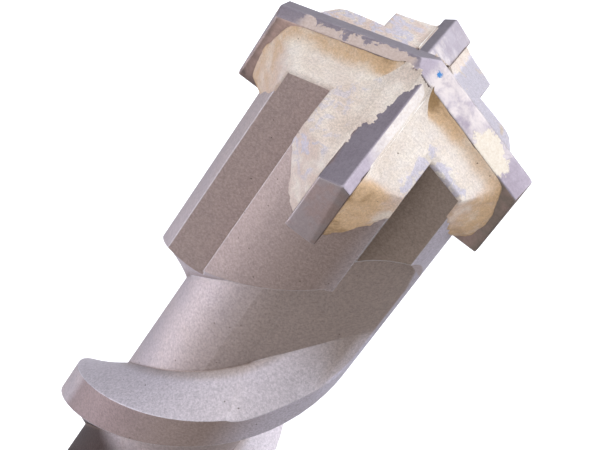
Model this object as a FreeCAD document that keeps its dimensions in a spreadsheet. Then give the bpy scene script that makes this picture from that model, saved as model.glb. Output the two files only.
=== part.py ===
import FreeCAD, Part
import math
import os
import Sketcher

# Four-cutter hammer drill bit with a slotted 18 mm shank.
# The axis is Z. The rear end face of the shank is at Z = 0 and the chisel edge is at the top.
# The full-width cutter lies along X, and the two side cutters point to -Y (front) and +Y (rear).
# Seen from the tip, the bit cuts anticlockwise, so each cutter leads on its anticlockwise side.

SIZES = (
    ("total_length", 370.0, "rear end face to chisel edge"),
    ("cutter_diameter", 40.0, "circle that the cutter ends cut"),
    ("point_fall_angle", 21.0, "fall of the cutter ridges, from level"),
    ("plate_thickness", 4.7, "carbide plate, face to face"),
    ("ridge_offset", 0.95, "ridge ahead of the plate's middle plane"),
    ("relief_angle", 24.8, "fall of the trailing flank, across the plate"),
    ("lead_angle", 37.4, "fall of the leading flank, across the plate"),
    ("plate_depth", 20.7, "ridge apex to the plates' lower edge"),
    ("side_plate_drop", 1.4, "side cutter ridges below the main ridge"),
    ("end_relief", 0.35, "recess of the cutter ends at their trailing edge"),
    ("lead_relief", 0.45, "recess of the cutter ends at their leading face"),
    ("back_taper", 0.25, "loss of cutter radius from ridge to lower edge"),
    ("braze_gap", 0.15, "braze film between carbide and steel"),
    ("body_diameter", 32.0, "outside of the head and of the lands"),
    ("core_diameter", 20.0, "floor of the flutes"),
    ("pad_width", 15.6, "steel pad round each cutter, side to side"),
    ("head_drop", 3.0, "ridge apex to the top of the steel, on the axis"),
    ("head_fall_angle", 22.3, "fall of the steel top, from level"),
    ("rim_chamfer", 0.5, "bevel round the top of the steel"),
    ("dust_slot_depth", 51.5, "ridge apex to the foot of the dust slots"),
    ("helix_pitch", 77.5, "advance of a flute in one turn"),
    ("land_width", 6.7, "outer width of a land, along the axis"),
    ("flute_top_depth", 36.4, "ridge apex to the top of the front flute"),
    ("flute_turns", 3.0, "whole turns of a flute below the front"),
    ("flute_top_run", 4.2, "slope of the upper flute wall, along the axis"),
    ("flute_foot_run", 5.7, "slope of the lower flute wall, along the axis"),
    ("fade_step", 0.02, "step where the fading cut takes over from the flute"),
    ("land_end_height", 122.0, "rear end face to the end of the lands"),
    ("land_end_cone", 9.0, "length of the cone that ends the lands"),
    ("neck_relief", 0.1, "neck radius below the flute floor"),
    ("shank_length", 100.0, "rear end face to the weld face"),
    ("shank_diameter", 18.0, "shank, a standard slotted size"),
    ("collar_length", 5.0, "full-width collar in front of the shank"),
    ("collar_taper", 3.0, "length of the taper from shank to collar"),
    ("rear_chamfer", 1.5, "bevel at the rear end face"),
    ("spline_width", 4.2, "open drive slot, side to side"),
    ("spline_depth", 2.6, "open drive slot, below the surface"),
    ("spline_length", 72.0, "open drive slot, from the rear end"),
    ("spline_spread", 60.0, "angle between the paired drive slots"),
    ("lock_width", 7.2, "closed locking recess, side to side"),
    ("lock_depth", 2.4, "closed locking recess, below the surface"),
    ("lock_start", 12.0, "rear end to the locking recesses"),
    ("lock_length", 33.0, "closed locking recess, end to end"),
    ("cut_margin", 1.0, "how far cutting profiles stand outside what they cut"),
    ("pool_thickness", 0.6, "braze that lies on the steel top"),
    ("pool_margin", 0.5, "bare steel rim outside the braze"),
)

# How the upper end of a flute fades out: angle past the full-depth end, radius regained as a
# share of the flute depth, fall of the upper wall as a share of the flute width, and length of
# the lower wall along the axis as a share of its full length.
RUNOUT = (
    (0.0, 0.0, 0.0, 1.0),
    (20.0, 0.15, 0.0, 1.15),
    (39.0, 0.45, 0.06, 1.25),
    (55.0, 0.83, 0.30, 1.10),
    (69.0, 1.10, 0.52, 0.80),
)
LEAST_DEPTH = 0.17       # share of the flute depth below which the lower wall gets no flatter
FULL_DEPTH_TURN = 25.0   # degrees that a flute runs past the front before it starts to fade
FADE_OVERLAP = 0.5       # degrees that the full-depth cut runs into the fading one
SMALL_ARC = 0.1          # radius of a sketch arc before its expression sets it
LOCK_ROUNDING = 0.49     # corner radius of a locking recess as a share of its width

doc = FreeCAD.newDocument("four_cutter_bit")
sheet = doc.addObject("Spreadsheet::Sheet", "sizes")
for row, (alias, number, meaning) in enumerate(SIZES, start=1):
    sheet.set("A%d" % row, alias)
    sheet.set("B%d" % row, str(number))
    sheet.set("C%d" % row, meaning)
    sheet.setAlias("B%d" % row, alias)
doc.recompute()

# Heights and radii that several pieces share, written from the sheet's values.
CLEAR = "sizes.cut_margin"
CUTTER_R = "sizes.cutter_diameter / 2"
BODY_R = "sizes.body_diameter / 2"
CORE_R = "sizes.core_diameter / 2"
SHANK_R = "sizes.shank_diameter / 2"
NECK_R = "(sizes.core_diameter / 2 - sizes.neck_relief)"
HALF_PLATE = "sizes.plate_thickness / 2"
HALF_SLOT = "(sizes.plate_thickness / 2 + sizes.braze_gap)"
HALF_PAD = "sizes.pad_width / 2"
APEX = "(sizes.total_length + sizes.ridge_offset * tan(sizes.relief_angle * 1 deg))"
POINT_FALL = "tan(sizes.point_fall_angle * 1 deg)"
HEAD_FALL = "tan(sizes.head_fall_angle * 1 deg)"
RELIEF_FALL = "tan(sizes.relief_angle * 1 deg)"
LEAD_FALL = "tan(sizes.lead_angle * 1 deg)"
PLATE_FOOT = "(%s - sizes.plate_depth)" % APEX
HEAD_TOP = "(%s - sizes.head_drop)" % APEX
FLUTE_DEPTH = "(sizes.body_diameter / 2 - sizes.core_diameter / 2)"
FLUTE_WIDTH = "(sizes.helix_pitch / 2 - sizes.land_width)"
LONG_CUT = "sizes.cutter_diameter * 1.5"    # passes the whole cutter, tilted or not


def origin_plane(body, role):
    """The body's own origin plane of that role."""
    return [item for item in body.Origin.OriginFeatures if item.Role == role][0]


def new_body(name):
    """An empty body whose label is the piece's name."""
    body = doc.addObject("PartDesign::Body", name)
    body.Label = name
    return body


def closed_sketch(body, name, role, loops, fillets=(), turn=0.0, lift="0"):
    """Sketch of closed loops whose corners are pairs of expressions, on an origin plane.

    fillets lists (corner number, radius expression) for the first loop. turn swings the sketch
    round Z by degrees, so that on the XZ plane its first coordinate is a radius, and lift moves
    it along the plane's normal.
    """
    sketch = body.newObject("Sketcher::SketchObject", name)
    sketch.AttachmentSupport = [(origin_plane(body, role), "")]
    sketch.MapMode = "FlatFace"
    z_axis_in_plane = FreeCAD.Vector(0, 0, 1) if role == "XY_Plane" else FreeCAD.Vector(0, 1, 0)
    sketch.AttachmentOffset = FreeCAD.Placement(
        FreeCAD.Vector(0, 0, 0), FreeCAD.Rotation(z_axis_in_plane, turn))
    sketch.setExpression("AttachmentOffset.Base.z", lift)
    first = 0
    for loop in loops:
        count = len(loop)
        start = [FreeCAD.Vector(math.cos(2 * math.pi * k / count), math.sin(2 * math.pi * k / count), 0)
                 for k in range(count)]
        for k in range(count):
            sketch.addGeometry(Part.LineSegment(start[k], start[(k + 1) % count]), False)
        for k in range(count):
            sketch.addConstraint(Sketcher.Constraint("Coincident", first + k, 2, first + (k + 1) % count, 1))
        for k, corner in enumerate(loop):
            for kind, expression, value in zip(("DistanceX", "DistanceY"), corner, start[k]):
                number = sketch.addConstraint(Sketcher.Constraint(kind, -1, 1, first + k, 1, value))
                sketch.setExpression("Constraints[%d]" % number, expression)
        first += count
    doc.recompute()
    for corner, radius in fillets:
        round_corner(sketch, corner, len(loops[0]), radius)
    return sketch


def round_corner(sketch, corner, count, radius):
    """Replace one corner of the first loop by an arc whose radius is an expression."""
    before = (corner - 1) % count
    line_in = sketch.Geometry[before]
    line_out = sketch.Geometry[corner]
    point_in = (line_in.StartPoint + line_in.EndPoint) / 2
    point_out = (line_out.StartPoint + line_out.EndPoint) / 2
    known = sketch.GeometryCount
    sketch.fillet(before, corner, point_in, point_out, SMALL_ARC, True, True)
    arcs = [k for k in range(known, sketch.GeometryCount)
            if sketch.Geometry[k].TypeId == "Part::GeomArcOfCircle"]
    number = sketch.addConstraint(Sketcher.Constraint("Radius", arcs[0], SMALL_ARC))
    sketch.setExpression("Constraints[%d]" % number, radius)
    doc.recompute()


def turned(body, name, loops):
    """Revolve a closed profile of the XZ plane round Z."""
    sketch = closed_sketch(body, name + "_profile", "XZ_Plane", loops)
    feature = body.newObject("PartDesign::Revolution", name)
    feature.Profile = sketch
    feature.ReferenceAxis = (sketch, ["V_Axis"])
    feature.Angle = 360
    doc.recompute()
    return feature


def straight(body, kind, name, role, loops, length, both_ways=False, backwards=False, fall=None, **where):
    """Pad or pocket of closed loops; fall slants it down per unit of the plane's normal.

    where holds the sketch's fillets, turn and lift.
    """
    sketch = closed_sketch(body, name + "_profile", role, loops, **where)
    feature = body.newObject("PartDesign::" + kind, name)
    feature.Profile = sketch
    feature.setExpression("Length", length)
    feature.Midplane = both_ways
    feature.Reversed = backwards
    if fall is not None:
        feature.UseCustomVector = True
        feature.AlongSketchNormal = False
        feature.Direction = FreeCAD.Vector(1, 0, 0)
        feature.setExpression("Direction.z", "-" + fall)
    doc.recompute()
    return feature


def ring_copies(body, name, features, copies):
    """Repeat features evenly round Z."""
    pattern = body.newObject("PartDesign::PolarPattern", name)
    pattern.Originals = features
    pattern.Axis = (origin_plane(body, "Z_Axis"), [""])
    pattern.Angle = 360
    pattern.Occurrences = copies
    body.Tip = pattern
    doc.recompute()
    return pattern


def size(alias):
    """A sheet value as a number."""
    return float(getattr(sheet, alias))


def place(body, turn=0.0):
    """Swing a finished piece round Z to where it belongs."""
    body.Placement = FreeCAD.Placement(
        FreeCAD.Vector(0, 0, 0), FreeCAD.Rotation(FreeCAD.Vector(0, 0, 1), turn))
    doc.recompute()
    return body


def add_shank():
    """Turned shank with three open drive slots and two closed locking recesses."""
    body = new_body("shank")
    collar_foot = "sizes.shank_length - sizes.collar_length"
    turned(body, "shank_blank", [[
        ("0", "0"),
        ("%s - sizes.rear_chamfer" % SHANK_R, "0"),
        (SHANK_R, "sizes.rear_chamfer"),
        (SHANK_R, "%s - sizes.collar_taper" % collar_foot),
        (NECK_R, collar_foot),
        (NECK_R, "sizes.shank_length"),
        ("0", "sizes.shank_length"),
    ]])
    slot_floor = "%s - sizes.spline_depth" % SHANK_R
    slot = [
        (slot_floor, "-sizes.spline_width / 2"),
        ("%s + %s" % (SHANK_R, CLEAR), "-sizes.spline_width / 2"),
        ("%s + %s" % (SHANK_R, CLEAR), "sizes.spline_width / 2"),
        (slot_floor, "sizes.spline_width / 2"),
    ]
    half_spread = size("spline_spread") / 2
    for name, turn in (("single", 90.0), ("pair_left", 270.0 - half_spread), ("pair_right", 270.0 + half_spread)):
        straight(body, "Pocket", "drive_slot_" + name, "XY_Plane", [slot], "sizes.spline_length",
                 backwards=True, turn=turn)
    recess = [
        ("-sizes.lock_width / 2", "sizes.lock_start"),
        ("sizes.lock_width / 2", "sizes.lock_start"),
        ("sizes.lock_width / 2", "sizes.lock_start + sizes.lock_length"),
        ("-sizes.lock_width / 2", "sizes.lock_start + sizes.lock_length"),
    ]
    round_end = "sizes.lock_width * %s" % LOCK_ROUNDING
    lock = straight(body, "Pocket", "locking_recess", "YZ_Plane", [recess], "sizes.lock_depth + " + CLEAR,
                    backwards=True, lift="%s - sizes.lock_depth" % SHANK_R,
                    fillets=[(corner, round_end) for corner in range(4)])
    ring_copies(body, "locking_recesses", [lock], 2)
    return body


def flute_section(regained, wall_fall, foot_share, turns_down, turn, grown="0"):
    """Corners of a flute's outline in the half plane of that turn."""
    edge = "(%s - sizes.flute_top_depth + sizes.helix_pitch * (%.4f - %s))" % (APEX, turn / 360.0, turns_down)
    floor = "(%s + %.3f * %s - %s)" % (CORE_R, regained, FLUTE_DEPTH, grown)
    upper = "%s + %s - %.3f * %s" % (edge, grown, wall_fall, FLUTE_WIDTH)
    lower = "%s - %s - %s" % (edge, grown, FLUTE_WIDTH)
    inward = 1.0 - regained
    outward = "%s / %s" % (CLEAR, FLUTE_DEPTH)
    foot_run = "sizes.flute_foot_run * %.4f" % (foot_share / max(inward, LEAST_DEPTH))
    return [[
        ("%s + %s" % (BODY_R, CLEAR), "%s + sizes.flute_top_run * %s" % (upper, outward)),
        (floor, "%s - sizes.flute_top_run * %.3f" % (upper, inward)),
        (floor, "%s + %s * %.3f" % (lower, foot_run, inward)),
        ("%s + %s" % (BODY_R, CLEAR), "%s - %s * %s" % (lower, foot_run, outward)),
    ]]


def cut_flute(body, name, facing):
    """Helical flute at full depth; facing is the azimuth of the side cutter above its start.

    Refining stays off, because the body is cut again next to the helical faces.
    """
    loops = flute_section(0.0, 0.0, 1.0, "sizes.flute_turns", 0.0)
    foot = closed_sketch(body, name + "_foot", "XZ_Plane", loops, turn=facing)
    flute = body.newObject("PartDesign::SubtractiveHelix", name)
    flute.Profile = foot
    flute.ReferenceAxis = (foot, ["V_Axis"])
    flute.Mode = "pitch-height-angle"
    flute.Refine = False
    flute.setExpression("Pitch", "sizes.helix_pitch")
    part_turn = (FULL_DEPTH_TURN + FADE_OVERLAP) / 360.0
    flute.setExpression("Height", "sizes.helix_pitch * (sizes.flute_turns + %.5f)" % part_turn)
    doc.recompute()


def fade_flute(body, name, facing):
    """Upper end of a flute, where its floor climbs out to the head's surface."""
    sections = []
    for number, (past, regained, wall_fall, foot_share) in enumerate(RUNOUT):
        turn = FULL_DEPTH_TURN + past
        grown = "sizes.fade_step" if number == 0 else "0"
        loops = flute_section(regained, wall_fall, foot_share, "0", turn, grown)
        sections.append(closed_sketch(body, "%s_%d" % (name, number), "XZ_Plane", loops, turn=facing + turn))
    fade = body.newObject("PartDesign::SubtractiveLoft", name)
    fade.Refine = False
    fade.Profile = sections[0]
    fade.Sections = sections[1:]
    doc.recompute()


def add_spiral_body():
    """Steel head, lands and neck in one piece, with slots for the carbide."""
    body = new_body("spiral_body")
    rim_radius = "(%s - sizes.rim_chamfer)" % BODY_R
    rim_height = "%s - %s * %s" % (HEAD_TOP, HEAD_FALL, rim_radius)
    turned(body, "body_blank", [[
        ("0", "sizes.shank_length"),
        (NECK_R, "sizes.shank_length"),
        (NECK_R, "sizes.land_end_height - sizes.land_end_cone"),
        (BODY_R, "sizes.land_end_height"),
        (BODY_R, "%s - sizes.rim_chamfer" % rim_height),
        (rim_radius, rim_height),
        ("0", HEAD_TOP),
    ]])
    outside = "(%s + %s)" % (BODY_R, CLEAR)
    corner_square = [(HALF_PAD, HALF_PAD), (outside, HALF_PAD), (outside, outside), (HALF_PAD, outside)]
    straight(body, "Pocket", "dust_slots", "XY_Plane", [
        [(across + x, along + y) for x, y in corner_square]
        for across, along in (("", ""), ("-", ""), ("-", "-"), ("", "-"))
    ], "sizes.dust_slot_depth", lift=APEX)
    straight(body, "Pocket", "plate_slots", "XY_Plane", [[
        (HALF_SLOT, HALF_SLOT),
        (HALF_SLOT, outside),
        ("-" + HALF_SLOT, outside),
        ("-" + HALF_SLOT, HALF_SLOT),
        ("-" + outside, HALF_SLOT),
        ("-" + outside, "-" + HALF_SLOT),
        ("-" + HALF_SLOT, "-" + HALF_SLOT),
        ("-" + HALF_SLOT, "-(%s)" % outside),
        (HALF_SLOT, "-(%s)" % outside),
        (HALF_SLOT, "-" + HALF_SLOT),
        (outside, "-" + HALF_SLOT),
        (outside, HALF_SLOT),
    ]], "sizes.plate_depth + sizes.braze_gap", lift=APEX)
    sides = (("front", -90.0), ("rear", 90.0))
    for side, facing in sides:
        cut_flute(body, "flute_" + side, facing)
    for side, facing in sides:
        fade_flute(body, "fade_" + side, facing)
    return body


def cut_roof(body, apex):
    """Cut the two flanks of the cutter that points to +X, whose ridge leads on its +Y side."""
    lead_out = "(%s + %s)" % (HALF_PLATE, CLEAR)
    above = "%s + %s" % (apex, CUTTER_R)
    return straight(body, "Pocket", "flanks", "YZ_Plane", [[
        ("-" + lead_out, "%s - %s * (sizes.ridge_offset + %s)" % (apex, RELIEF_FALL, lead_out)),
        ("sizes.ridge_offset", apex),
        (lead_out, "%s - %s * (%s - sizes.ridge_offset)" % (apex, LEAD_FALL, lead_out)),
        (lead_out, above),
        ("-" + lead_out, above),
    ]], LONG_CUT, both_ways=True, fall=POINT_FALL)


def cut_back_taper(body, apex):
    """Lean the outer end of the cutter inwards from its corner to its lower edge."""
    corner = "%s - %s * %s" % (apex, POINT_FALL, CUTTER_R)
    return straight(body, "Pocket", "end_taper", "XZ_Plane", [[
        (CUTTER_R, corner),
        ("%s - sizes.back_taper" % CUTTER_R, PLATE_FOOT),
        ("%s + %s" % (CUTTER_R, CLEAR), PLATE_FOOT),
        ("%s + %s" % (CUTTER_R, CLEAR), corner),
    ]], "sizes.plate_thickness + 2 * " + CLEAR, both_ways=True)


def add_main_plate():
    """Full-width carbide plate with a cutter at each end and the chisel edge between them."""
    body = new_body("main_cutter_plate")
    trailing_end = "%s - sizes.end_relief" % CUTTER_R
    leading_end = "%s - sizes.lead_relief" % CUTTER_R
    straight(body, "Pad", "plate_blank", "XY_Plane", [[
        (trailing_end, "-" + HALF_PLATE),
        (CUTTER_R, "sizes.ridge_offset"),
        (leading_end, HALF_PLATE),
        ("-(%s)" % trailing_end, HALF_PLATE),
        ("-" + CUTTER_R, "-sizes.ridge_offset"),
        ("-(%s)" % leading_end, "-" + HALF_PLATE),
    ]], "sizes.plate_depth", lift=PLATE_FOOT)
    flanks = cut_roof(body, APEX)
    taper = cut_back_taper(body, APEX)
    ring_copies(body, "both_cutters", [flanks, taper], 2)
    return body


def add_side_plate(name, turn):
    """Shorter carbide plate that butts on the main plate."""
    body = new_body(name)
    straight(body, "Pad", "plate_blank", "XY_Plane", [[
        (HALF_SLOT, "-" + HALF_PLATE),
        ("%s - sizes.end_relief" % CUTTER_R, "-" + HALF_PLATE),
        (CUTTER_R, "sizes.ridge_offset"),
        ("%s - sizes.lead_relief" % CUTTER_R, HALF_PLATE),
        (HALF_SLOT, HALF_PLATE),
    ]], "sizes.plate_depth - sizes.side_plate_drop", lift=PLATE_FOOT)
    apex = "(%s - sizes.side_plate_drop)" % APEX
    cut_roof(body, apex)
    cut_back_taper(body, apex)
    return place(body, turn)


def seam_top(radius):
    """Height of a braze film's upper edge at that radius."""
    return "%s + sizes.pool_thickness - %s * %s" % (HEAD_TOP, HEAD_FALL, radius)


def add_seam(name, turn, under_middle):
    """Braze film under and beside one cutter's plate, as wide as its slot."""
    body = new_body(name)
    film_foot = "%s - sizes.braze_gap" % PLATE_FOOT
    film_end = "(%s - sizes.pool_margin)" % BODY_R
    if under_middle:
        inner = [
            (HALF_SLOT, seam_top(HALF_SLOT)),
            (HALF_SLOT, PLATE_FOOT),
            ("0", PLATE_FOOT),
            ("0", film_foot),
        ]
    else:
        inner = [
            (HALF_PLATE, seam_top(HALF_PLATE)),
            (HALF_PLATE, film_foot),
        ]
    outer = [
        (film_end, film_foot),
        (film_end, seam_top(film_end)),
    ]
    straight(body, "Pad", "film_blank", "XZ_Plane", [inner + outer], "2 * " + HALF_SLOT, both_ways=True)
    straight(body, "Pocket", "plate_seat", "XZ_Plane", [[
        (HALF_SLOT, PLATE_FOOT),
        (CUTTER_R, PLATE_FOOT),
        (CUTTER_R, APEX),
        (HALF_SLOT, APEX),
    ]], "sizes.plate_thickness", both_ways=True)
    if under_middle:
        past_edge = "(%s + %s)" % (HALF_SLOT, CLEAR)
        straight(body, "Pocket", "side_seam_room", "XY_Plane", [
            [("-" + CLEAR, sign + HALF_PLATE), (HALF_SLOT, sign + HALF_PLATE),
             (HALF_SLOT, sign + past_edge), ("-" + CLEAR, sign + past_edge)]
            for sign in ("", "-")
        ], "sizes.plate_depth + 2 * sizes.braze_gap", lift=APEX)
    return place(body, turn)


def add_pool(name, turn):
    """Braze that has run over the steel top between two cutters."""
    body = new_body(name)
    rim = "(%s - sizes.pool_margin)" % BODY_R
    rim_height = "%s - %s * %s" % (HEAD_TOP, HEAD_FALL, rim)
    turned(body, "pool_disc", [[
        ("0", HEAD_TOP),
        (rim, rim_height),
        (rim, "%s + sizes.pool_thickness / 2" % rim_height),
        ("0", "%s + sizes.pool_thickness" % HEAD_TOP),
    ]])
    outside = CUTTER_R
    pad_edge = "%s - sizes.pool_margin" % HALF_PAD
    straight(body, "Pocket", "pool_outline", "XY_Plane", [
        [
            ("-" + outside, "-" + outside),
            (outside, "-" + outside),
            (outside, HALF_SLOT),
            (HALF_SLOT, HALF_SLOT),
            (HALF_SLOT, outside),
            ("-" + outside, outside),
        ],
        [
            (pad_edge, pad_edge),
            (outside, pad_edge),
            (outside, outside),
            (pad_edge, outside),
        ],
    ], "sizes.plate_depth", lift=APEX)
    return place(body, turn)


def build():
    """Every piece of the bit, from the rear end to the tip."""
    pieces = [add_shank(), add_spiral_body(), add_main_plate()]
    pieces.append(add_side_plate("side_cutter_plate_front", -90.0))
    pieces.append(add_side_plate("side_cutter_plate_rear", 90.0))
    for name, turn, under_middle in (
            ("braze_seam_right", 0.0, True),
            ("braze_seam_rear", 90.0, False),
            ("braze_seam_left", 180.0, True),
            ("braze_seam_front", -90.0, False)):
        pieces.append(add_seam(name, turn, under_middle))
    for name, turn in (
            ("braze_pool_rear_right", 0.0),
            ("braze_pool_rear_left", 90.0),
            ("braze_pool_front_left", 180.0),
            ("braze_pool_front_right", -90.0)):
        pieces.append(add_pool(name, turn))
    return pieces


def check(pieces):
    """Stop if a feature failed or a piece isn't one valid solid."""
    for item in doc.Objects:
        if "Invalid" in item.State or "Error" in item.State:
            raise RuntimeError("%s is %s" % (item.Label, item.State))
    for piece in pieces:
        shape = piece.Shape
        if shape.isNull() or not shape.isValid() or len(shape.Solids) != 1:
            raise RuntimeError("%s has no single valid solid" % piece.Label)


def export(pieces):
    """Write each piece to its own file."""
    os.makedirs("parts", exist_ok=True)
    for piece in pieces:
        piece.Shape.exportStep("parts/%s.step" % piece.Label)
        box = piece.Shape.BoundBox
        print("%-26s volume %10.1f  z %7.2f to %7.2f" % (piece.Label, piece.Shape.Volume, box.ZMin, box.ZMax))


all_pieces = build()
check(all_pieces)
export(all_pieces)
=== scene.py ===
import math

import bpy
import numpy as np
from mathutils import Matrix, Vector, noise


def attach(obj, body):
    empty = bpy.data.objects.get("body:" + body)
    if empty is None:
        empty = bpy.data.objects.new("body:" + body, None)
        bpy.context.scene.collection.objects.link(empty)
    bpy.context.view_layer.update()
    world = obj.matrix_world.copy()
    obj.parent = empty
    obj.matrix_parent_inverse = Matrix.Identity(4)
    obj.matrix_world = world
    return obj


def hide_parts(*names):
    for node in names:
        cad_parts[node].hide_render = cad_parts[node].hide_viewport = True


# Looks of the four-cutter drill bit: braze crust, ground carbide, blasted steel, studio and camera.
# The materials and the braze work in millimetres, and meshes are written in metres.

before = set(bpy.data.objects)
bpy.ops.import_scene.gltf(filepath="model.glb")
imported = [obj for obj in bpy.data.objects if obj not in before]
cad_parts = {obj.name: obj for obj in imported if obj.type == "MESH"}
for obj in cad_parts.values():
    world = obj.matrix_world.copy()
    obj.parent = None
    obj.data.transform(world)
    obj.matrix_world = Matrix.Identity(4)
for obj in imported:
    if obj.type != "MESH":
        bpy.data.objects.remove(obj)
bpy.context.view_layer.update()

MM = 0.001
UP = np.array([0.0, 0.0, 1.0])
APEX = 370.439          # height of the ridge apex above the rear end face
HALF_PLATE = 2.35       # half of a carbide plate's thickness
RIDGE_LEAD = 0.95       # ridge ahead of the plate's middle plane
HALF_PAD = 7.8          # half of a pad's width
BODY_R = 16.0           # outside of the head
RIM_R = 15.5            # inner edge of the rim bevel
RIM_BEVEL = 0.3         # height of the rim bevel
RIM_DEPTH = 9.4         # depth below the apex at which the pads' outside starts
HEAD_DROP = 3.0         # ridge apex to the steel's apex
HEAD_FALL = math.tan(math.radians(22.3))
POINT_FALL = math.tan(math.radians(21.0))
RELIEF_FALL = math.tan(math.radians(24.8))
LEAD_FALL = math.tan(math.radians(37.4))
SIDE_DROP = 1.4         # side cutter ridges below the main ridge
SLOT_DEPTH = 51.5       # depth of the dust slots' floor below the apex
SEAM_LIP = 0.6          # a braze seam's top above the steel top
EDGE_ROUND = 0.35       # rounding of the braze over the pad's edges
WRAP = 0.7              # how far the braze laps over the pad's edges
WORN_EDGE = 0.4         # most by which a plate's edges are worn round
HIDDEN = 0.3            # depth of the braze's mesh inside the solids where it doesn't show
FLECK = (1.95, -0.4, APEX - 1.4)   # speck of blue paint

ARMS = {"left": 180.0, "front": -90.0, "right": 0.0, "rear": 90.0}   # where each cutter points, in degrees

STEEL = {
    "pale": (0.530, 0.460, 0.460),
    "grey": (0.480, 0.425, 0.440),
    "tip": (0.480, 0.402, 0.368),
    "cloud": (0.53, 0.445, 0.41),
    # painted shade on the right side of the core
    "shaded_core": (0.450, 0.375, 0.335),
    # painted shade on the dust slots' walls, darker on the right
    "left_slot_shade": (0.440, 0.350, 0.315),
    "right_slot_shade": (0.340, 0.275, 0.225),
    # painted shadow below the first land
    "painted_shadow_under_land": (0.060, 0.040, 0.036),
    # painted light on the lands' upper sides
    "lit_upper_sides": (0.68, 0.63, 0.67),
    # painted highlight on the crest of the first land
    "crest_highlight": (0.76, 0.70, 0.74),
    # painted shade and reflection of the outside: brown in front, darker on the left, bright and bluish on the
    # right
    "outside": (0.395, 0.310, 0.280),
    "left_outside_shade": (0.250, 0.175, 0.165),
    "right_reflection": (0.79, 0.77, 0.90),
    "lower_right_reflection": (0.560, 0.510, 0.535),
    # painted shade in the flutes' roots
    "root": (0.22, 0.155, 0.120),
    # painted highlight on the steel's edges
    "edge": (0.92, 0.92, 0.98),
    "pit": (0.14, 0.11, 0.09),
}
GROUND_STEEL = {
    "pale": (0.44, 0.42, 0.42),
    "dark": (0.39, 0.37, 0.38),
    # painted highlight on the shank's edges
    "edge": (0.66, 0.65, 0.66),
}
CARBIDE = {
    "face": (0.200, 0.155, 0.140),
    "right_face": (0.275, 0.230, 0.195),
    "end": (0.400, 0.345, 0.345),
    "rust": (0.43, 0.31, 0.275),
    "smoke": (0.62, 0.45, 0.385),
    "flank": (0.335, 0.290, 0.325),
    "dark_flank": (0.290, 0.247, 0.280),
    # painted highlight on the plates' edges
    "edge": (0.80, 0.78, 0.82),
    "haze": (0.735, 0.655, 0.605),
    "paint": (0.045, 0.17, 0.38),
}
FLUX = {
    "side": ((0.74, 0.655, 0.58), (0.85, 0.79, 0.735)),
    "left": ((0.52, 0.40, 0.33), (0.62, 0.505, 0.445)),
    "right": ((0.74, 0.640, 0.500), (0.84, 0.765, 0.640)),
}
BRAZE = {
    "sand": (0.84, 0.77, 0.675),
    "cream": (0.90, 0.86, 0.80),
    # painted shade of the braze
    "painted_shade": (0.56, 0.45, 0.355),
    "pink": (0.62, 0.47, 0.40),
    "gold": (0.60, 0.405, 0.235),
    "burnt": (0.33, 0.20, 0.085),
    "bare": (0.56, 0.52, 0.585),
    "pit": (0.16, 0.11, 0.07),
}


class Nodes:
    """Short names for making one node tree. A value is a number, a tuple or another node's socket."""

    def __init__(self, tree):
        self.tree = tree

    def add(self, kind, **settings):
        node = self.tree.nodes.new("ShaderNode" + kind)
        for name, value in settings.items():
            setattr(node, name, value)
        return node

    def put(self, socket, value):
        if isinstance(value, bpy.types.NodeSocket):
            self.tree.links.new(value, socket)
        else:
            socket.default_value = value

    def math(self, operation, *values):
        """Result for the first two values. Each further value is applied to the result before it."""
        total = values[0]
        for value in values[1:]:
            node = self.add("Math", operation=operation)
            self.put(node.inputs[0], total)
            self.put(node.inputs[1], value)
            total = node.outputs[0]
        return total

    def plus(self, *values):
        return self.math("ADD", *values)

    def minus(self, one, two):
        return self.math("SUBTRACT", one, two)

    def times(self, *values):
        return self.math("MULTIPLY", *values)

    def most(self, *values):
        return self.math("MAXIMUM", *values)

    def least(self, *values):
        return self.math("MINIMUM", *values)

    def vector(self, operation, one, two=None):
        node = self.add("VectorMath", operation=operation)
        self.put(node.inputs[0], one)
        if two is not None:
            self.put(node.inputs[1], two)
        return node.outputs["Value"] if operation in ("LENGTH", "DOT_PRODUCT", "DISTANCE") else node.outputs[0]

    def split(self, vector):
        node = self.add("SeparateXYZ")
        self.put(node.inputs[0], vector)
        return node.outputs

    def size(self, vector):
        """Each part of a vector without its sign."""
        return self.split(self.vector("ABSOLUTE", vector))

    def step(self, value, low, high, start=0.0, end=1.0, kind="SMOOTHSTEP"):
        """Step of value from low to high, written from start to end."""
        node = self.add("MapRange", interpolation_type=kind)
        for socket, number in zip(node.inputs, (value, low, high, start, end)):
            self.put(socket, number)
        return node.outputs[0]

    def between(self, share, one, two):
        """Number between two numbers."""
        node = self.add("Mix")
        for index, value in ((0, share), (2, one), (3, two)):
            self.put(node.inputs[index], value)
        return node.outputs[0]

    def mix(self, share, one, two):
        """Colour between two colours."""
        node = self.add("Mix", data_type="RGBA")
        self.put(node.inputs[0], share)
        for socket, value in ((node.inputs[6], one), (node.inputs[7], two)):
            self.put(socket, value if isinstance(value, bpy.types.NodeSocket) else (*value, 1.0))
        return node.outputs[2]

    def scaled(self, colour, factor):
        """Colour times a number."""
        node = self.add("VectorMath", operation="SCALE")
        self.put(node.inputs[0], colour)
        self.put(node.inputs["Scale"], factor)
        return node.outputs[0]


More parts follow.
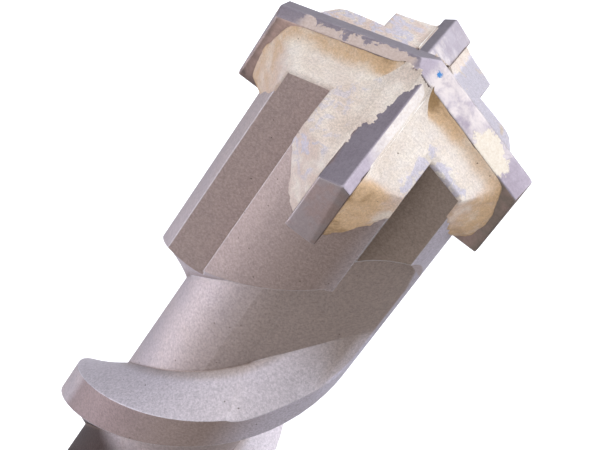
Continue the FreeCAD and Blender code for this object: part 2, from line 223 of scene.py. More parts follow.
class Maker(Nodes):
    """Node tree of one material of the part, with lengths in millimetres."""

    def __init__(self, name):
        self.material = bpy.data.materials.new(name)
        self.material.use_nodes = True
        super().__init__(self.material.node_tree)
        self.shader = self.tree.nodes["Principled BSDF"]
        place = self.add("TexCoord").outputs["Object"]
        self.place = self.vector("MULTIPLY", place, (1.0 / MM, 1.0 / MM, 1.0 / MM))
        self.x, self.y, z = self.split(self.place)
        self.down = self.minus(APEX, z)     # depth below the ridge apex

    def noise(self, scale, detail=2.0, roughness=0.5, distortion=0.0, stretch=(1.0, 1.0, 1.0), shift=0.0):
        where = self.vector("MULTIPLY", self.place, stretch)
        if shift:
            where = self.vector("ADD", where, (shift, shift * 0.7, shift * 1.3))
        node = self.add("TexNoise")
        for name, value in (("Vector", where), ("Scale", scale), ("Detail", detail),
                            ("Roughness", roughness), ("Distortion", distortion)):
            self.put(node.inputs[name], value)
        return node.outputs[0]

    def pits(self, scale, low, high):
        """0 in small round pits and 1 elsewhere."""
        node = self.add("TexVoronoi")
        self.put(node.inputs["Vector"], self.place)
        self.put(node.inputs["Scale"], scale)
        return self.step(node.outputs["Distance"], low, high)

    def edges(self, radius, low=0.02, high=0.22):
        """How close a point is to a sharp outward or inward edge, from the rounded normal."""
        bevel = self.add("Bevel", samples=6)
        bevel.inputs["Radius"].default_value = radius * MM
        self.round_normal = bevel.outputs[0]
        turn = self.minus(1.0, self.vector("DOT_PRODUCT", self.round_normal, self.flat_normal()))
        return self.step(turn, low, high)

    def flat_normal(self):
        return self.add("NewGeometry").outputs["Normal"]

    def bump(self, height, depth, strength=1.0, normal=None):
        """Bump whose height socket runs 0 to 1 and stands for depth millimetres."""
        node = self.add("Bump")
        node.inputs["Strength"].default_value = strength
        node.inputs["Distance"].default_value = depth * MM
        self.put(node.inputs["Height"], height)
        if normal is not None:
            self.put(node.inputs["Normal"], normal)
        return node.outputs[0]

    def field(self, name):
        """A number that the mesh carries at each point."""
        return self.add("Attribute", attribute_name=name).outputs["Fac"]

    def finish(self, colour, roughness, metallic, normal):
        self.put(self.shader.inputs["Base Color"], colour)
        self.put(self.shader.inputs["Roughness"], roughness)
        self.put(self.shader.inputs["Metallic"], metallic)
        self.put(self.shader.inputs["Normal"], normal)
        return self.material


def outside_shade_and_reflection(m, colour, radius, nz, slot):
    """The head's and lands' outside: painted shade, brown in front and darker on the left, and a painted
    reflection, bright on the right.
    """
    standing = m.most(m.times(m.step(nz, 0.42, 0.26), m.step(m.x, 12.0, 14.0)), m.step(nz, 0.20, 0.08))
    # at the foot of the right pad the painted reflection on the outside narrows to a point
    foot = m.plus(m.x, m.times(m.minus(28.0, m.down), 0.12))
    foot = m.times(m.step(foot, 14.6, 15.0), m.step(m.down, 36.0, 33.0))
    outside = m.most(m.step(radius, 15.65, 15.90), m.step(m.x, 15.40, 15.65), foot)
    outside = m.times(outside, m.minus(1.0, slot), standing, m.step(m.x, -14.2, -12.6))
    left_land_shade = m.times(m.step(m.x, 2.0, -8.0), m.step(m.down, 56.0, 62.0))
    brown = m.mix(left_land_shade, STEEL["outside"], STEEL["left_outside_shade"])
    right_reflection = m.mix(m.step(m.down, 95.0, 72.0), STEEL["lower_right_reflection"], STEEL["right_reflection"])
    tint = m.mix(m.step(m.x, 5.0, 12.0), brown, right_reflection)
    return m.mix(m.times(outside, 0.75), colour, tint)


def make_steel():
    """Blasted steel of the head and flutes, tinted from place to place, by heat near the tip, and painted with
    shade, shadow, highlights and reflections.
    """
    m = Maker("blasted_steel")
    broad = m.noise(0.09, 3.0, 0.55)
    cloud = m.noise(0.45, 4.0, 0.6, shift=11.0)
    sand = m.noise(2.6, 3.0, 0.7, shift=8.0)
    grain = m.noise(6.0, 3.0, 0.65)
    nx, ny, nz = m.size(m.flat_normal())
    radius = m.vector("LENGTH", m.vector("MULTIPLY", m.place, (1.0, 1.0, 0.0)))

    colour = m.mix(m.step(broad, 0.35, 0.65), STEEL["pale"], STEEL["grey"])
    colour = m.mix(m.times(m.step(m.down, 50.0, 16.0), 0.60), colour, STEEL["tip"])
    colour = m.mix(m.step(cloud, 0.50, 0.75, 0.0, 0.35), colour, STEEL["cloud"])
    # painted shade: the core below the head is darker and browner towards the right
    shaded_core = m.times(m.step(m.down, 100.0, 62.0), m.step(m.x, -10.0, 2.5))
    colour = m.mix(m.times(shaded_core, 0.80), colour, STEEL["shaded_core"])

    # walls of the dust slots between the pads, painted darker as shade in the recesses, the right ones darkest
    size_x, size_y, _ = m.size(m.place)
    slot = m.times(m.step(m.least(size_x, size_y), HALF_PAD - 0.06, HALF_PAD - 0.02),
                   m.step(m.most(nx, ny), 0.985, 0.995), m.step(m.down, SLOT_DEPTH + 0.1, SLOT_DEPTH - 0.5))
    slot_shade = m.mix(m.step(m.x, -3.0, 3.0), STEEL["left_slot_shade"], STEEL["right_slot_shade"])
    colour = m.mix(m.times(slot, 0.85), colour, slot_shade)

    # painted shadow: the core is nearly black below the first land, on the left
    shadow_under_land = m.times(m.step(m.down, 84.0, 91.0), m.step(m.down, 118.0, 104.0), m.step(m.x, 3.0, -6.0),
                    m.step(m.y, 1.5, -2.5), m.step(radius, 13.5, 11.0))
    colour = m.mix(shadow_under_land, colour, STEEL["painted_shadow_under_land"])

    # painted light: the lands' upper sides, which face up, are lighter, up to a painted highlight on the crest at
    # the right end of the first one
    lit_upper_sides = m.times(m.step(nz, 0.22, 0.50), m.step(radius, 10.3, 11.6))
    colour = m.mix(m.times(lit_upper_sides, 0.75), colour, STEEL["lit_upper_sides"])
    # painted highlight on the crest
    crest_highlight = m.times(m.step(m.down, 43.0, 47.0), m.step(m.down, 60.0, 56.0), m.step(m.x, 13.8, 15.2))
    colour = m.mix(m.times(crest_highlight, 0.70), colour, STEEL["crest_highlight"])
    colour = outside_shade_and_reflection(m, colour, radius, nz, slot)
    colour = m.scaled(colour, m.plus(m.step(sand, 0.28, 0.72, 0.85, 1.15), m.step(grain, 0.25, 0.75, -0.16, 0.16)))

    # below the head every edge inside the lands' outside is a flute's root, which holds a brown line of painted
    # shade
    inner = m.times(m.step(radius, 15.4, 15.0), m.step(m.down, 55.0, 57.0))
    root = m.times(m.edges(0.95, 0.01, 0.12), inner)
    edge = m.times(m.edges(0.32), m.minus(1.0, inner))
    colour = m.mix(m.times(root, 0.75), colour, STEEL["root"])
    # painted highlight: sharp edges are lightened, and made less metallic below
    colour = m.mix(m.times(edge, 0.90), colour, STEEL["edge"])
    colour = m.mix(m.pits(0.40, 0.030, 0.055), STEEL["pit"], colour)

    roughness = m.plus(m.step(grain, 0.2, 0.8, 0.46, 0.62), m.times(slot, 0.06))
    metallic = m.minus(0.92, m.times(edge, 0.55))
    normal = m.bump(m.plus(m.times(sand, 0.55), m.times(grain, 0.45)), 0.09, 0.75, m.round_normal)
    normal = m.bump(cloud, 0.10, 0.4, normal)
    return m.finish(colour, roughness, metallic, normal)


def make_shank_steel():
    """Turned and ground steel of the shank."""
    m = Maker("ground_steel")
    rings = m.noise(3.0, 3.0, 0.6, stretch=(0.15, 0.15, 4.0))
    cloud = m.noise(0.15, 3.0, 0.55, shift=3.0)
    grain = m.noise(7.0, 2.0, 0.6)
    colour = m.mix(m.step(cloud, 0.35, 0.65), GROUND_STEEL["pale"], GROUND_STEEL["dark"])
    colour = m.scaled(colour, m.step(rings, 0.25, 0.75, 0.88, 1.10))
    # painted highlight along sharp edges
    colour = m.mix(m.times(m.edges(0.25), 0.5), colour, GROUND_STEEL["edge"])
    roughness = m.step(rings, 0.2, 0.8, 0.30, 0.42)
    normal = m.bump(m.plus(m.times(rings, 0.7), m.times(grain, 0.3)), 0.02, 0.6, m.round_normal)
    return m.finish(colour, roughness, 0.95, normal)


def main_flux(m, patch):
    """Flux on the full-width plate: where it is thick, and where it is only a haze."""
    # on the left cutter's leading flank a band along its lower edge
    ragged = m.plus(m.y, m.step(patch, 0.3, 0.7, -1.1, 1.1))
    band = m.times(m.step(ragged, -1.25, -1.45), m.step(m.x, -17.6, -15.8), m.step(m.x, -1.0, -2.0))
    # on the right cutter's trailing flank a haze, with a blot near its end
    haze = m.step(m.plus(patch, m.step(m.size(m.place)[0], 6.0, 15.0, 0.10, 0.0)), 0.38, 0.74)
    haze = m.times(haze, m.step(m.x, 0.5, 1.5), m.step(m.x, 16.5, 15.6))
    blot = m.vector("MULTIPLY", m.vector("SUBTRACT", m.place, (13.2, -1.2, 0.0)), (1.0, 1.5, 0.0))
    blot = m.plus(m.vector("LENGTH", blot), m.step(patch, 0.3, 0.7, -0.9, 0.9))
    return m.most(band, m.step(blot, 3.1, 2.7)), haze


def side_flux(m, patch):
    """Flux on the side cutters: patches behind the rear one's ridge and a cover before the front one's."""
    haze = m.step(m.plus(patch, m.step(m.size(m.place)[1], 3.0, 15.0, 0.12, -0.10)), 0.40, 0.72)
    behind = m.times(haze, m.step(m.y, 2.0, 4.0, 0.0, 0.55), m.step(m.x, -0.9, -0.6))
    before = m.times(m.step(m.y, -15.5, -11.5), m.step(m.x, 0.90, 1.05), m.step(m.y, -1.0, -2.0),
                     m.step(patch, 0.25, 0.55, 0.55, 1.0))
    return m.most(behind, before)


def make_carbide(name, main):
    """Carbide: flanks ground bright, faces dull and brown, and flux stains where they really lie.

    main is true for the full-width plate, which runs along X, and false for the side cutters.
    """
    m = Maker(name)
    lines = m.noise(2.5, 2.0, 0.5, stretch=(0.25, 6.0, 0.6) if main else (6.0, 0.25, 0.6))
    cloud = m.noise(0.35, 4.0, 0.6, shift=17.0)
    sand = m.noise(2.8, 3.0, 0.7, shift=4.0)
    grain = m.noise(8.0, 2.0, 0.6)
    patch = m.noise(0.42, 5.0, 0.66, 0.3, shift=29.0)
    nx, ny, nz = m.size(m.flat_normal())
    flank = m.step(nz, 0.35, 0.55)

    dull = m.mix(m.step(nx if main else ny, 0.80, 0.90), CARBIDE["face"], CARBIDE["end"])
    if main:
        dull = m.mix(m.step(m.x, 14.0, 17.0), dull, CARBIDE["right_face"])
    rust = m.step(m.noise(0.30, 4.0, 0.6, shift=41.0), 0.42, 0.62, 0.0, 0.55)
    dull = m.mix(rust, dull, CARBIDE["rust"])
    if main:
        smoke = m.times(m.step(m.x, -20.0, -18.2), m.step(m.x, -10.0, -14.0), m.step(m.down, 21.0, 14.0),
                        m.step(cloud, 0.35, 0.60, 0.55, 0.95))
        dull = m.mix(smoke, dull, CARBIDE["smoke"])
    bright = m.mix(m.step(cloud, 0.35, 0.68), CARBIDE["flank"], CARBIDE["dark_flank"])
    colour = m.mix(flank, dull, bright)
    colour = m.scaled(colour, m.plus(m.step(sand, 0.3, 0.7, 0.93, 1.07), m.step(grain, 0.25, 0.75, -0.06, 0.06)))
    colour = m.scaled(colour, m.step(lines, 0.3, 0.7, 0.96, 1.04))
    # painted highlight along the plates' sharp edges
    colour = m.mix(m.times(m.edges(0.42, 0.01, 0.15), 0.75), colour, CARBIDE["edge"])

    fine = m.step(sand, 0.3, 0.7)
    if main:
        stain, haze = main_flux(m, patch)
        veil = m.times(haze, 0.75, flank)
        colour = m.mix(veil, colour, CARBIDE["haze"])
        flux = m.mix(m.step(m.x, -1.0, 1.0), m.mix(fine, *FLUX["left"]), m.mix(fine, *FLUX["right"]))
    else:
        stain, veil = side_flux(m, patch), 0.0
        flux = m.mix(fine, *FLUX["side"])
    stain = m.times(stain, flank)
    colour = m.mix(m.times(stain, 0.88), colour, flux)
    if main:
        fleck = m.plus(m.vector("DISTANCE", m.place, FLECK), m.step(sand, 0.3, 0.7, -0.20, 0.20))
        colour = m.mix(m.step(fleck, 0.44, 0.26), colour, CARBIDE["paint"])

    roughness = m.plus(m.step(flank, 0.0, 1.0, 0.46, 0.34), m.step(cloud, 0.3, 0.7, -0.03, 0.03),
                       m.times(stain, 0.3))
    metallic = m.minus(0.95, m.times(m.most(stain, veil), 0.85))
    normal = m.bump(lines, 0.010, 0.5, m.round_normal)
    normal = m.bump(m.plus(m.times(stain, 0.6), m.times(sand, 0.4)), 0.06, 0.7, normal)
    return m.finish(colour, roughness, metallic, normal)


def make_braze():
    """Flux-covered braze: sandy cream with golden, pink and bare places and painted shade, which the mesh carries.
    """
    m = Maker("braze_crust")
    broad = m.noise(0.22, 3.0, 0.55, shift=7.0)
    cloud = m.noise(0.75, 4.0, 0.62, shift=2.0)
    sand = m.noise(3.6, 3.0, 0.75, shift=6.0)
    grain = m.noise(8.5, 2.0, 0.65)
    colour = m.mix(m.step(cloud, 0.36, 0.64), BRAZE["sand"], BRAZE["cream"])

    # painted shade, mottled
    mottle = m.plus(m.times(broad, 0.6), m.times(cloud, 0.4))
    painted_shade = m.times(m.field("painted_shade"), m.step(mottle, 0.32, 0.66, 0.45, 1.0))
    colour = m.mix(painted_shade, colour, BRAZE["painted_shade"])
    pink = m.times(m.field("pink"), m.step(m.plus(broad, m.times(cloud, 0.3)), 0.42, 0.72))
    colour = m.mix(m.times(pink, 0.9), colour, BRAZE["pink"])
    flecked = m.plus(m.step(broad, 0.3, 0.7, 0.72, 1.28), m.step(cloud, 0.3, 0.7, -0.12, 0.12))
    gold = m.times(m.field("golden"), flecked)
    colour = m.mix(m.step(gold, 0.03, 0.62), colour, BRAZE["gold"])
    colour = m.mix(m.step(gold, 0.62, 1.15), colour, BRAZE["burnt"])

    # a bare field above 1 lets more metal through, and darkens the braze round it as painted shade
    over = m.most(m.minus(m.field("bare"), 1.0), 0.0)
    bare = m.plus(m.noise(0.55, 4.0, 0.6, 0.5, shift=31.0), m.times(over, 0.25))
    bare = m.times(m.least(m.field("bare"), 1.0), m.step(bare, 0.50, 0.58))
    colour = m.mix(m.times(bare, 0.88), colour, BRAZE["bare"])

    # sandy grain, stronger where the braze has painted shade
    coarse = m.plus(m.step(sand, 0.30, 0.70, -0.23, 0.12), m.step(grain, 0.28, 0.72, -0.12, 0.11))
    coarse = m.times(coarse, m.plus(0.42, m.times(m.least(m.field("painted_shade"), 1.0), 0.62)))
    colour = m.scaled(colour, m.plus(coarse, 1.0))
    # painted shade where the bare field is above 1
    colour = m.scaled(colour, m.minus(1.0, m.times(over, 0.40)))
    pits = m.pits(0.30, 0.022, 0.040)
    colour = m.mix(pits, BRAZE["pit"], colour)

    roughness = m.minus(m.step(grain, 0.2, 0.8, 0.56, 0.74), m.times(bare, 0.15))
    normal = m.bump(m.plus(m.times(sand, 0.6), m.times(grain, 0.4)), 0.14, 0.8)
    normal = m.bump(pits, 0.12, 0.6, normal)
    return m.finish(colour, roughness, m.times(bare, 0.25), normal)


def smooth(value, low, high):
    t = np.clip((value - low) / (high - low), 0.0, 1.0)
    return t * t * (3.0 - 2.0 * t)


def bell(value, middle, spread):
    return np.exp(-((value - middle) / spread) ** 2)


def column(values):
    return values[:, None]


def waves(points, scale, seed, octaves=4):
    """Fractal noise from about -1 to 1 at points given in millimetres."""
    shift = Vector((seed * 3.1, seed * 5.7, seed * 2.3))
    return np.array([noise.fractal(Vector(p) * scale + shift, 0.6, 2.1, octaves) for p in points])


def roof(a, b, side):
    """Height of a cutter's flanks above the ridge apex's level, a along it and b across it on one side."""
    over = (b if side.lead else -b) - RIDGE_LEAD
    return -side.drop - POINT_FALL * a - np.where(over > 0.0, LEAD_FALL * over, -RELIEF_FALL * over)


def face_top(along, side):
    """Height above the steel top of the upper edge of a plate's face."""
    top = roof(along, np.full_like(along, HALF_PLATE), side)
    return top + HEAD_DROP + HEAD_FALL * np.hypot(along, HALF_PLATE)


class Side:
    """How the braze lies on one side of one cutter."""

    def __init__(self, arm, lead, climb, foot, outer, sag, hollow, ramp=0.0):
        self.arm, self.lead = arm, lead
        self.climb = climb      # share of the plate's face that the braze covers on the steel top
        self.foot = foot        # depth of the braze border at the plate, below the apex
        self.outer = outer      # depth of that border at the pad's edge
        self.sag = sag          # how far the fillet reaches out on the plate beside the pad
        self.hollow = hollow    # how hollow the fillet beside the pad is
        self.ramp = ramp        # width of the braze that runs smoothly onto a flank, instead of a fillet
        self.drop = SIDE_DROP if arm in ("front", "rear") else 0.0
        self.lap = 3.4 if arm == "front" else 1.6    # how far the braze laps over the flank near the centre


SIDES = {(side.arm, side.lead): side for side in (
    Side("left", True, 1.0, 21.0, 14.5, 2.2, 2.2),
    Side("left", False, 0.9, 20.5, 14.0, 1.8, 2.2),
    Side("front", True, 1.06, 21.8, 14.3, 3.0, 1.5),
    Side("front", False, 1.0, 21.9, 13.6, 2.9, 1.5, 1.9),
    Side("right", True, 0.9, 20.8, 15.0, 1.9, 2.2),
    Side("right", False, 1.0, 21.2, 14.0, 2.1, 2.2),
    Side("rear", True, 0.9, 20.6, 14.6, 2.0, 2.0),
    Side("rear", False, 1.0, 21.3, 13.8, 1.8, 2.0, 1.9),
)}
# How golden, pink, bare and darkened by painted shade the braze is, on the steel top and on the pad's outside, by
# cutter side; a bare value above 1 darkens it further as painted shade.
TINTS = {
    ("left", True): ((0.62, 0.30, 0.0, 0.60), (0.55, 0.85, 0.1, 0.45)),
    ("left", False): ((0.15, 0.80, 1.15, 0.95), (0.20, 0.60, 0.4, 0.50)),
    ("front", True): ((0.05, 0.15, 0.05, 0.58), (0.95, 0.95, 0.0, 0.60)),
    ("front", False): ((0.02, 0.30, 0.60, 0.78), (0.05, 0.85, 1.0, 0.40)),
    ("right", True): ((0.0, 0.25, 1.6, 0.90), (0.10, 0.50, 1.5, 0.60)),
    ("right", False): ((0.78, 0.15, 0.05, 0.58), (0.80, 0.95, 0.0, 0.60)),
    ("rear", True): ((0.05, 0.80, 1.15, 0.95), (0.30, 0.60, 0.5, 0.50)),
    ("rear", False): ((0.0, 0.25, 1.6, 0.90), (0.10, 0.50, 1.5, 0.60)),
}
# Where the golden stain beside a main cutter is strongest and how far it spreads, and a second, smaller one.
GOLD_MIDDLE = {"right": (3.2, 6.5), "left": (9.6, 5.8), "front": (9.0, 4.8), "rear": (9.0, 4.8)}
GOLD_SMEAR = {"right": (3.0, 0.60), "left": (4.4, 0.75), "front": (3.0, 0.0), "rear": (3.0, 0.0)}
SMEAR_SPREAD = 1.5
# The cream braze between the front and right cutters is thin beside its dust slot, so more grey metal shows, and
# it is darkened there as painted shade.
THIN_AND_SHADED_BY_SLOT = (("front", True), ("right", False))

# Columns of the braze's grid, by distance from the cutter's middle plane: closest beside the plate's face.
COLUMNS = np.concatenate([np.linspace(0.0, 2.3, 13), np.linspace(2.36, 4.2, 19),
                          np.linspace(4.4, HALF_PAD - 0.05, 18)])
WRAP_COLUMNS = 7
TOP_ROWS = 60
DROP_STEP = 0.25


def grid_places(side):
    """Places of the braze's grid on one side of a cutter, and the grid's shape.

    a runs along the cutter from the diagonal to the pad's outside, b across it, wrap over the pad's
    edge into the dust slot, and drop down the pad's outside.
    """
    b_line = np.concatenate([COLUMNS, np.full(WRAP_COLUMNS, HALF_PAD)])
    wraps = np.concatenate([np.zeros(len(COLUMNS)), np.linspace(0.0, WRAP + EDGE_ROUND, WRAP_COLUMNS + 1)[1:]])
    shares = np.linspace(0.0, 1.0, TOP_ROWS) ** 0.9
    drops = np.arange(0.0, max(side.foot, side.outer) + 1.2 - RIM_DEPTH, DROP_STEP)[1:]
    places = []
    for b, wrap in zip(b_line, wraps):
        a_rim = math.sqrt(BODY_R ** 2 - b ** 2)
        places += [(a, b, wrap, 0.0) for a in b + (a_rim - b) * shares]
        places += [(a_rim, b, wrap, drop) for drop in drops]
    return np.array(places).T, (len(b_line), TOP_ROWS + len(drops))


def fillet(distance, height, spread):
    """Concave fillet of that height at its wall, gone at spread times that distance from it."""
    t = np.clip(distance / (height * spread), 0.0, 1.0)
    return height * (1.0 - np.sqrt(np.clip(1.0 - (1.0 - t) ** 2, 0.0, 1.0)))


def bead(along, edge):
    """How far the braze stands above a flank's edge where it covers the seam beside the plate."""
    seam = SEAM_LIP + HEAD_FALL * (np.hypot(along, HALF_PLATE) - along)
    return np.maximum(seam + 0.06 - edge, 0.10)


class Crust:
    """Braze on one side of a cutter, as arrays over its grid.

    own is this side, and other is the facing side of the next cutter.
    """

    def __init__(self, own, other):
        self.own, self.other = own, other
        (self.a, self.b, self.wrap, self.drop), self.shape = grid_places(own)
        angle = math.radians(ARMS[own.arm])
        self.e_a = np.array([math.cos(angle), math.sin(angle), 0.0])
        self.e_b = np.array([-math.sin(angle), math.cos(angle), 0.0]) * (1.0 if own.lead else -1.0)
        self.radius = np.maximum(np.hypot(self.a, self.b), 0.01)
        rim = np.where(self.drop == 0.0, RIM_BEVEL * smooth(self.radius, RIM_R - 0.3, BODY_R), RIM_BEVEL)
        self.z = -HEAD_DROP - HEAD_FALL * np.minimum(self.radius, BODY_R) - self.drop - rim
        # 0 on the steel top and 1 on the pad's outside, with the braze's own direction turning between them
        self.outward = smooth(self.radius + self.drop, BODY_R - 0.9, BODY_R + 0.9)
        tilt = self.outward * math.pi / 2
        apart = self.b * smooth(self.b, HALF_PLATE, HALF_PLATE + 3.5)
        radial = column(self.a) * self.e_a + column(apart) * self.e_b
        radial = radial / column(np.maximum(np.hypot(self.a, apart), 0.01))
        self.up = column(np.cos(tilt)) * UP + column(np.sin(tilt)) * radial
        self.base = column(self.a) * self.e_a + column(self.b) * self.e_b + column(self.z) * UP
        self.rough = waves(self.base, 0.35, 1.0)
        self.lumps = waves(self.base, 1.1, 2.0, 3)
        self.gap = np.maximum(self.b - HALF_PLATE, 0.0)         # distance from this plate's face
        self.beyond = np.maximum(self.a - HALF_PLATE, 0.0)      # distance from the next plate's face
        self.film = 0.20 + 0.06 * self.rough + 0.03 * self.lumps
        self.uneven = 1.0 + 0.05 * self.rough + 0.02 * self.lumps
        self.height = self.heights()

    def heights(self):
        """Height of the braze on the steel, along its own direction."""
        # ragged border down the outside of the pad
        along = np.clip((self.b - HALF_PLATE) / (HALF_PAD - HALF_PLATE), 0.0, 1.0)
        border = self.own.foot + (self.own.outer - self.own.foot) * along ** 1.15
        inside = border + 0.55 * self.rough + 0.15 * self.lumps + self.z
        height = self.film * smooth(inside, -0.25, 0.55) - 0.16 * (1.0 - smooth(inside, -0.35, 0.25))
        # fillets against both plates on the steel top
        on_steel = 1.0 - self.outward
        height += self.against(self.own, self.gap, self.a) * on_steel
        height += self.against(self.other, self.beyond, self.b) * on_steel
        # fillet beside the plate down the pad's outside
        depth = np.clip((-self.z - 9.5) / 12.0, 0.0, 1.0)
        belly = np.sin(np.pi * np.clip(depth * 0.90 + 0.10, 0.0, 1.0)) ** 0.6
        slope = np.clip(1.0 - self.gap / (HALF_PAD - HALF_PLATE), 0.0, 1.0) ** self.own.hollow
        height += (0.30 + self.own.sag * belly) * self.uneven * slope * smooth(inside, -0.1, 2.2) * self.outward
        # over the plate the braze is hidden inside it, apart from its lap over a side cutter's flank
        over_plate, on_top = self.b < HALF_PLATE, self.drop == 0.0
        height = np.where(over_plate & on_top, self.skin(), height)
        return np.where(over_plate & ~on_top, -HIDDEN, height)

    def against(self, side, distance, along):
        """Extra height of the braze on the steel top at that distance from a plate's face."""
        edge = face_top(along, side)
        if side.ramp:
            t = np.clip((distance - 0.2) / side.ramp, 0.0, 1.0)
            top = edge + bead(along, edge) + 0.04 * self.lumps
            return np.maximum(top - self.film, 0.02) * (1.0 - t) ** 2
        return fillet(distance, np.maximum((edge - 0.12) * side.climb, 0.02) * self.uneven, 1.15)

    def skin(self):
        """Height of the braze over the plate: a lap on a side cutter's low trailing flank, else hidden."""
        a, b, own = self.a, self.b, self.own
        over_flank = roof(a, b, own) + HEAD_DROP + HEAD_FALL * self.radius
        if not own.drop:
            return over_flank - 0.25
        lap = own.lap - 0.23 * a + 0.8 * self.rough + 0.35 * self.lumps
        across = HALF_PLATE + b if own.lead else HALF_PLATE - b
        cover = smooth(lap - across, -0.12, 0.30)
        rise = 0.0 if own.lead else bead(a, face_top(a, own)) - 0.08
        skin = over_flank - 0.20 + (0.28 + 0.04 * self.lumps + rise * smooth(b, 0.8, HALF_PLATE)) * cover
        if own.lead:
            skin += 0.21 * smooth(b, 1.85, 2.15)    # fills the corner beside the plate's worn edge
        # fillet against the full-width plate, which stands higher
        wall = roof(b, np.full_like(b, HALF_PLATE), self.other) - roof(np.full_like(b, HALF_PLATE), b, own)
        wall = np.maximum(wall - 0.07 + 0.20 * (1.0 - cover), 0.02) * self.uneven
        skin += fillet(self.beyond, wall, 1.5) - 1.2 * smooth(a, 2.05, 1.5)
        return skin * (1.0 - self.outward) - HIDDEN * self.outward

    def points(self):
        """Points of the grid, in millimetres from the ridge apex."""
        # the braze rolls over the pad's edge onto the dust slot's wall
        roll = np.clip(self.wrap / EDGE_ROUND, 0.0, 1.0) * math.pi / 2
        slide = np.maximum(self.wrap - EDGE_ROUND, 0.0)
        wall = 0.14 * (1.0 - smooth(slide, 0.1, WRAP * 1.1)) - 0.12 * smooth(slide, 0.2, WRAP)
        wall = wall * (self.height > 0.0) - 0.15 * (self.height <= 0.0)
        thick = np.maximum(self.height, -0.2)
        rolled = thick * np.cos(roll) - EDGE_ROUND * (1.0 - np.cos(roll)) - slide
        rolled = self.base + self.up * column(rolled) + self.e_b * column(wall * np.sin(roll))
        return np.where(column(self.wrap > 0.0), rolled, self.base + self.up * column(self.height))

    def fields(self):
        """Numbers that the braze's material reads at each point."""
        arm, outward = self.own.arm, self.outward
        on_steel = 1.0 - outward
        top, outer = TINTS[arm, self.own.lead]
        smear_at, smear = GOLD_SMEAR[arm]
        streak = 0.35 + 0.65 * bell(self.a, *GOLD_MIDDLE[arm]) + smear * bell(self.a, smear_at, SMEAR_SPREAD)
        golden_top = top[0] * smooth(self.gap, 2.6, 0.2) * streak
        golden_outer = outer[0] * (0.75 + 0.35 * self.rough) * (0.45 + 0.55 * smooth(self.gap, 5.5, 0.3))
        bare = top[2] * on_steel + outer[2] * outward
        bare = bare * smooth(self.gap, 0.6, 1.6) * smooth(-self.z, 16.0, 12.5)
        # thin braze showing metal, and painted shade, beside the dust slot
        if (arm, self.own.lead) in THIN_AND_SHADED_BY_SLOT:
            bare = bare + 1.25 * smooth(self.gap, 3.0, 4.8) * on_steel
        return {
            "golden": golden_top * on_steel + golden_outer * outward,
            "pink": top[1] * on_steel + outer[1] * outward,
            "bare": bare,
            "painted_shade": top[3] * on_steel + outer[3] * outward,
        }

    def faces(self, start):
        """Faces of the grid, whose points count from start."""
        columns, rows = self.shape
        faces = []
        for i in range(columns - 1):
            for j in range(rows - 1):
                p = start + i * rows + j
                face = (p, p + rows, p + rows + 1, p + 1)
                faces.append(face if self.own.lead else face[::-1])
        return faces


def add_crust(name, node, own, other, material):
    """Braze between two cutters, as one piece that stands for the plain pool of that place."""
    crusts = (Crust(own, other), Crust(other, own))
    points = np.concatenate([crust.points() for crust in crusts])
    points[:, 2] += APEX
    faces = crusts[0].faces(0) + crusts[1].faces(len(crusts[0].a))
    mesh = bpy.data.meshes.new(name)
    mesh.from_pydata((points * MM).tolist(), [], faces)
    mesh.update()
    mesh.polygons.foreach_set("use_smooth", [True] * len(faces))
    fields = [crust.fields() for crust in crusts]
    for field in fields[0]:
        values = np.concatenate([part[field] for part in fields]).astype(np.float32)
        mesh.attributes.new(field, "FLOAT", "POINT").data.foreach_set("value", values)
    mesh.materials.append(material)
    piece = bpy.data.objects.new(name, mesh)
    bpy.context.scene.collection.objects.link(piece)
    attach(piece, "root")
    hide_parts(node)


def dress(name, material):
    """Give a CAD node its material."""
    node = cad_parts[name]
    node.data.materials.clear()
    node.data.materials.append(material)


def wear_edges(name):
    """Round a carbide plate's edges, and keep its faces flat."""
    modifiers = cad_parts[name].modifiers
    joined = modifiers.new("joined_corners", "WELD")
    joined.merge_threshold = 0.001 * MM
    rounding = modifiers.new("worn_edges", "BEVEL")
    rounding.width = WORN_EDGE * MM
    rounding.segments = 3
    rounding.limit_method = "ANGLE"
    rounding.angle_limit = math.radians(15.0)
    rounding.loop_slide = False    # keeps every new corner inside the plate
    modifiers.new("flat_faces", "WEIGHTED_NORMAL").weight = 100


def add_world():
    """Even surroundings, brighter behind on the right, which the camera itself sees as white."""
    world = bpy.data.worlds.new("studio")
    world.use_nodes = True
    bpy.context.scene.world = world
    m = Nodes(world.node_tree)
    surround = m.tree.nodes["Background"]
    surround.inputs["Color"].default_value = (0.95, 0.98, 1.06, 1.0)
    brightest = Vector((0.55, 0.55, 0.50)).normalized()
    toward = m.vector("DOT_PRODUCT", m.add("TexCoord").outputs["Generated"], brightest)
    m.put(surround.inputs["Strength"], m.step(toward, 0.28, 0.78, 0.64, 2.05))
    white = m.add("Background")
    white.inputs["Color"].default_value = (1.0, 1.0, 1.0, 1.0)
    choose = m.add("MixShader")
    m.put(choose.inputs[0], m.add("LightPath").outputs["Is Camera Ray"])
    m.put(choose.inputs[1], surround.outputs[0])
    m.put(choose.inputs[2], white.outputs[0])
    m.put(m.tree.nodes["World Output"].inputs[0], choose.outputs[0])


def add_softbox(name, place, aim, size, power, colour):
    data = bpy.data.lights.new(name, "AREA")
    data.shape = "RECTANGLE"
    data.size, data.size_y = size
    data.energy = power
    data.color = colour
    light = bpy.data.objects.new(name, data)
    bpy.context.scene.collection.objects.link(light)
    light.location = place
    light.rotation_mode = "QUATERNION"
    light.rotation_quaternion = (Vector(aim) - Vector(place)).to_track_quat("-Z", "Y")
    light.visible_camera = False


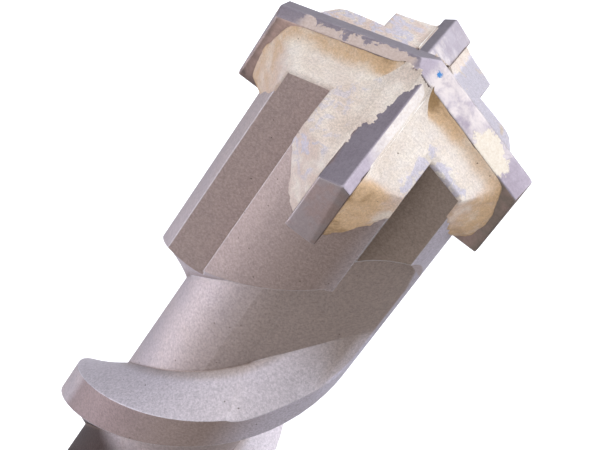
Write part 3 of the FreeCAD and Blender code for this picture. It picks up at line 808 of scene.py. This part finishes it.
def add_floor():
    """Pale floor. What the metal mirrors of it is darker and warmer on the right, as in the photo."""
    reach, back, below = 6.0, 1.55, 0.0003
    mesh = bpy.data.meshes.new("floor")
    corners = [(-reach, -reach, 0.0), (reach, -reach, 0.0), (reach, back, 0.0), (-reach, back, 0.0)]
    mesh.from_pydata(corners, [], [(0, 1, 2, 3)])
    floor = bpy.data.objects.new("floor", mesh)
    floor.location.z = -below
    bpy.context.scene.collection.objects.link(floor)
    material = bpy.data.materials.new("pale_floor")
    material.use_nodes = True
    m = Nodes(material.node_tree)
    x, y, _ = m.split(m.add("TexCoord").outputs["Object"])
    seen = m.add("LightPath").outputs["Is Camera Ray"]
    before = m.times(m.step(x, -0.55, 0.45, 0.80, 0.22), m.step(y, 0.08, 0.32, 1.0, 0.62))
    behind = m.step(x, -0.20, 0.60, 0.22, 1.0)
    tone = m.between(m.step(y, 0.55, 1.0), before, behind)
    tint = m.mix(m.step(x, -0.40, 0.25, kind="LINEAR"), (0.90, 0.89, 0.96), (0.98, 0.85, 0.74))
    shader = m.tree.nodes["Principled BSDF"]
    m.put(shader.inputs["Base Color"], m.mix(seen, m.scaled(tint, tone), (0.95, 0.95, 0.95)))
    shader.inputs["Roughness"].default_value = 0.9
    shader.inputs["Specular IOR Level"].default_value = 0.1
    shader.inputs["Emission Color"].default_value = (1.0, 1.0, 1.0, 1.0)
    m.put(shader.inputs["Emission Strength"], m.times(seen, 0.35))
    mesh.materials.append(material)


def add_camera():
    """Camera at the photograph's place, found by fitting the part's corners to it."""
    turn = Vector((2.2339891, 0.7623078, 0.2903384))        # turn from the part's axes to the camera's
    place = Vector((8.982, -305.716, 258.876 + APEX))
    data = bpy.data.cameras.new("camera")
    data.sensor_width = 36.0
    data.lens = 187.095
    data.clip_start = 0.01
    data.clip_end = 20.0
    camera = bpy.data.objects.new("camera", data)
    bpy.context.scene.collection.objects.link(camera)
    right, down, ahead = Matrix.Rotation(turn.length, 3, turn.normalized())
    axes = Matrix((right, -down, -ahead)).transposed()
    camera.matrix_world = Matrix.Translation(place * MM) @ axes.to_4x4()
    bpy.context.scene.camera = camera


carbide_main = make_carbide("carbide_main", True)
carbide_side = make_carbide("carbide_side", False)
braze = make_braze()
dress("spiral_body", make_steel())
dress("shank", make_shank_steel())
dress("main_cutter_plate", carbide_main)
dress("side_cutter_plate_front", carbide_side)
dress("side_cutter_plate_rear", carbide_side)
for plate in ("main_cutter_plate", "side_cutter_plate_front", "side_cutter_plate_rear"):
    wear_edges(plate)
for seam in ("right", "rear", "left", "front"):
    dress("braze_seam_" + seam, braze)
for corner, leading, trailing in (("front_left", "left", "front"), ("front_right", "front", "right"),
                                  ("rear_right", "right", "rear"), ("rear_left", "rear", "left")):
    add_crust("braze_crust_" + corner, "braze_pool_" + corner, SIDES[leading, True], SIDES[trailing, False], braze)
add_world()
tip = (0.0, 0.0, 0.35)
add_softbox("front_top", (-0.20, -0.75, 1.20), tip, (0.7, 0.5), 3.4, (1.0, 0.98, 0.97))
add_softbox("left_low", (-0.40, -0.20, 0.06), (0.0, 0.0, 0.33), (0.20, 0.36), 0.95, (0.93, 0.94, 1.0))
add_floor()
add_camera()
bpy.context.scene.view_settings.view_transform = "Standard"
